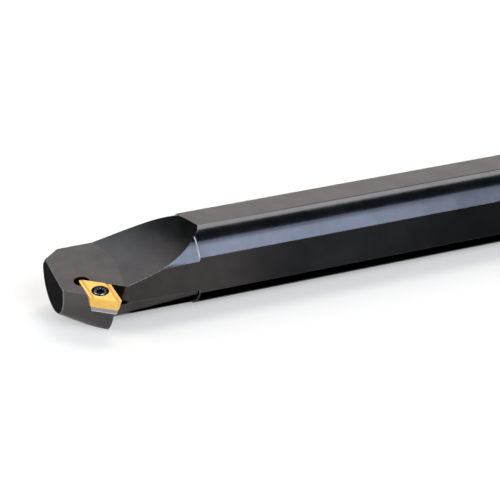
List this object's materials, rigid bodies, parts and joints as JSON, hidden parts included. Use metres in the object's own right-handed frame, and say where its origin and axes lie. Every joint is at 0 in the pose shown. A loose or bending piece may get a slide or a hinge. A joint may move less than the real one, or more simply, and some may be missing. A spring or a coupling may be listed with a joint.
{
  "type": "boring bar",
  "caption": "Round steel boring bar with clamping flats, a slim neck and a scooped head that holds a screwed-on rhombic insert, for cutting backwards inside a bore.",
  "frame": {"origin": "centre of the shank's rear end face, on the shank's axis", "axes": "the bar lies along X with its head towards -X, the rear end face looks to +X, the cutting side is towards -Y and the rake face and top flat are up, +Z"},
  "size_m": [0.25, 0.0379, 0.03],
  "materials": {
    "blackened_steel": "black oxide, satin",
    "bare_carbide": "ground carbide, grey",
    "gold_coating": "gold coated carbide",
    "screw_steel": "black oxide"
  },
  "bodies": {
    "root": {"bar_body": "blackened_steel", "shim": "bare_carbide", "shim_screw": "screw_steel", "insert": "gold_coating", "insert_screw": "screw_steel"}
  },
  "joints": []
}
